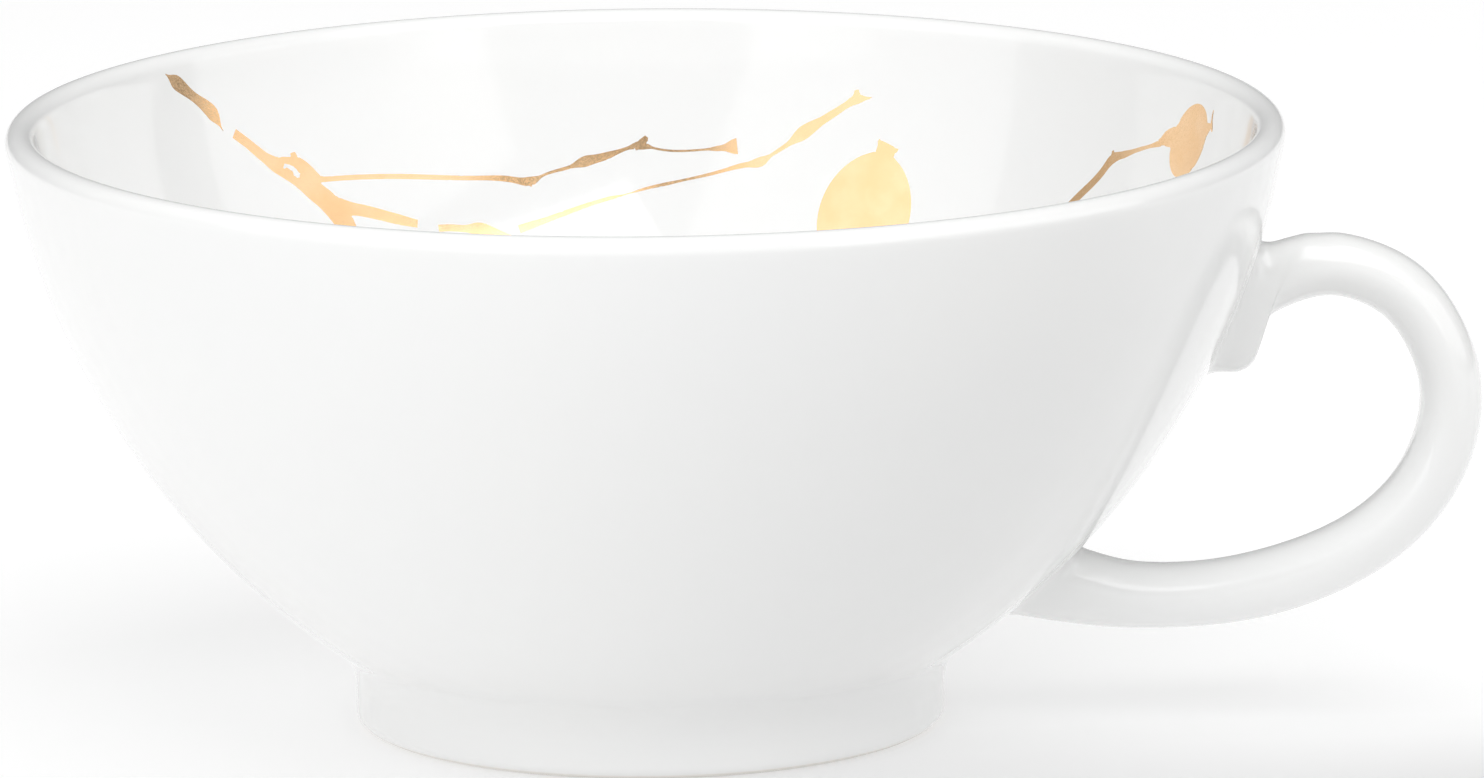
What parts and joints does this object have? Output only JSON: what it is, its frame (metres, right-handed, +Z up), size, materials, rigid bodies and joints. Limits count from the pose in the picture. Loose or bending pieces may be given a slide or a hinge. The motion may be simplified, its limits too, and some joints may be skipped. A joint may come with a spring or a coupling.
{
  "type": "teacup",
  "caption": "Low wide glazed porcelain teacup with an ear-shaped handle, a short foot ring and gold lustre twigs and rosehips inside the lip.",
  "frame": {"origin": "centre of the circle that the foot ring stands on, in the plane of the table", "axes": "+Z up, +X from the cup's axis out along the handle"},
  "size_m": [0.1268, 0.11, 0.0525],
  "materials": {
    "porcelain": "white porcelain under a clear glossy glaze",
    "slip": "fired porcelain slip under the same glaze",
    "gold": "fired gold lustre, bright, with a fine brushed grain"
  },
  "bodies": {
    "root": {"bowl": "porcelain", "foot_ring": "porcelain", "handle": "porcelain", "upper_slip_joint": "slip", "lower_slip_joint": "slip", "gold_bud": "gold", "gold_branch": "gold", "gold_bough": "gold", "gold_middle_twig": "gold", "gold_low_rosehip": "gold", "gold_side_rosehip": "gold"}
  },
  "joints": []
}
